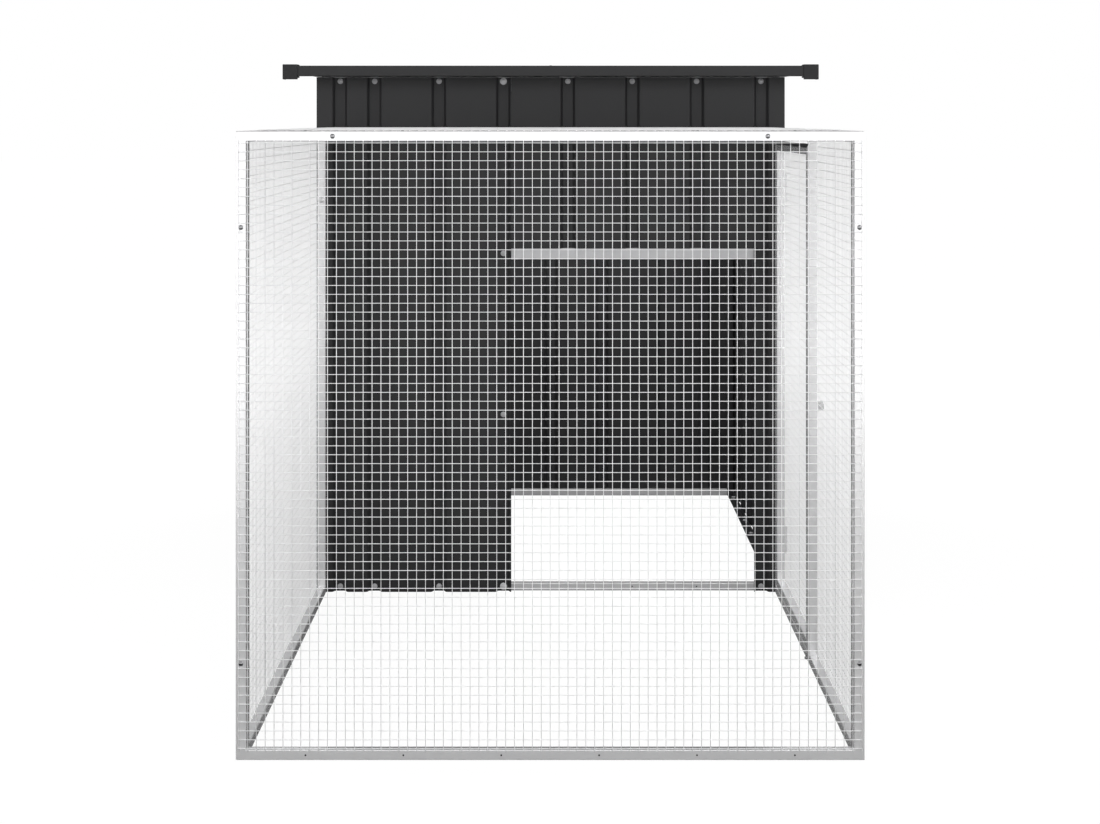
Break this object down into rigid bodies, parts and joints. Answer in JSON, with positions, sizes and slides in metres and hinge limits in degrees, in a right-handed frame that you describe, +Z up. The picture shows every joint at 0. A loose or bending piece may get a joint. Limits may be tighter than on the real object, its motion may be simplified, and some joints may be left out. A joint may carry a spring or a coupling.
{
  "type": "chicken cage",
  "caption": "Hen house of ribbed anthracite steel sheet on a tube frame, with a doorway into a square wire-mesh run that has a hinged side door with a slide bolt.",
  "frame": {"origin": "on the ground, in the middle of the whole outline", "axes": "+Z up, -Y out of the run's mesh front, +Y to the house's rear wall, +X to the side with the door"},
  "size_m": [1.101, 2.036, 1.0994],
  "materials": {
    "galvanised_tube": "satin",
    "galvanised_wire": "satin",
    "anthracite_sheet": "satin",
    "black_plastic": "matte",
    "zinc_fittings": "satin"
  },
  "bodies": {
    "frame": {"doorway_header": "galvanised_tube", "doorway_post": "galvanised_tube", "front_bottom_rail": "galvanised_tube", "front_left_sheet": "anthracite_sheet", "front_left_stile": "galvanised_tube", "front_mesh": "galvanised_wire", "front_right_sheet": "anthracite_sheet", "front_right_stile": "galvanised_tube", "front_top_rail": "galvanised_tube", "hinge_fixed_leaves": "zinc_fittings", "hinge_pins": "zinc_fittings", "house_front_left_post": "galvanised_tube", "house_front_right_post": "galvanised_tube", "house_front_top_rail": "galvanised_tube", "house_left_base_angle": "anthracite_sheet", "house_left_top_rail": "galvanised_tube", "house_rear_base_rail": "galvanised_tube", "house_rear_left_post": "anthracite_sheet", "house_rear_right_post": "anthracite_sheet", "house_rear_top_rail": "galvanised_tube", "house_right_base_angle": "anthracite_sheet", "house_right_top_rail": "galvanised_tube", "latch_keeper": "zinc_fittings", "left_bottom_rail": "galvanised_tube", "left_front_stile": "galvanised_tube", "left_mesh": "galvanised_wire", "left_rear_stile": "galvanised_tube", "left_sheet": "anthracite_sheet", "left_top_rail": "galvanised_tube", "rear_sheet": "anthracite_sheet", "right_bottom_rail": "galvanised_tube", "right_front_stile": "galvanised_tube", "right_mesh": "galvanised_wire", "right_middle_post": "galvanised_tube", "right_rear_stile": "galvanised_tube", "right_sheet": "anthracite_sheet", "right_top_rail": "galvanised_tube", "roof_corner_caps": "black_plastic", "roof_front_trim": "anthracite_sheet", "roof_left_trim": "anthracite_sheet", "roof_rear_trim": "anthracite_sheet", "roof_right_trim": "anthracite_sheet", "roof_sheet": "anthracite_sheet", "threshold_rail": "galvanised_tube", "top_front_rail": "galvanised_tube", "top_left_rail": "galvanised_tube", "top_mesh": "galvanised_wire", "top_rear_rail": "galvanised_tube", "top_right_rail": "galvanised_tube"},
    "door": {"door_bottom_rail": "galvanised_tube", "door_front_stile": "galvanised_tube", "door_top_rail": "galvanised_tube", "door_rear_stile": "galvanised_tube", "door_mesh": "galvanised_wire", "hinge_door_leaves": "zinc_fittings", "latch_plate": "zinc_fittings"},
    "latch_bolt": {"latch_bolt": "zinc_fittings"}
  },
  "joints": [
    {"name": "door_hinge", "type": "hinge", "parent": "frame", "child": "door", "pos_m": [0.4875, -0.05, 0], "axis": [0, 0, 1], "range_deg": [0, 115]},
    {"name": "latch_slide", "type": "slide", "parent": "door", "child": "latch_bolt", "axis": [0, -1, 0], "range_m": [0, 0.02]}
  ]
}
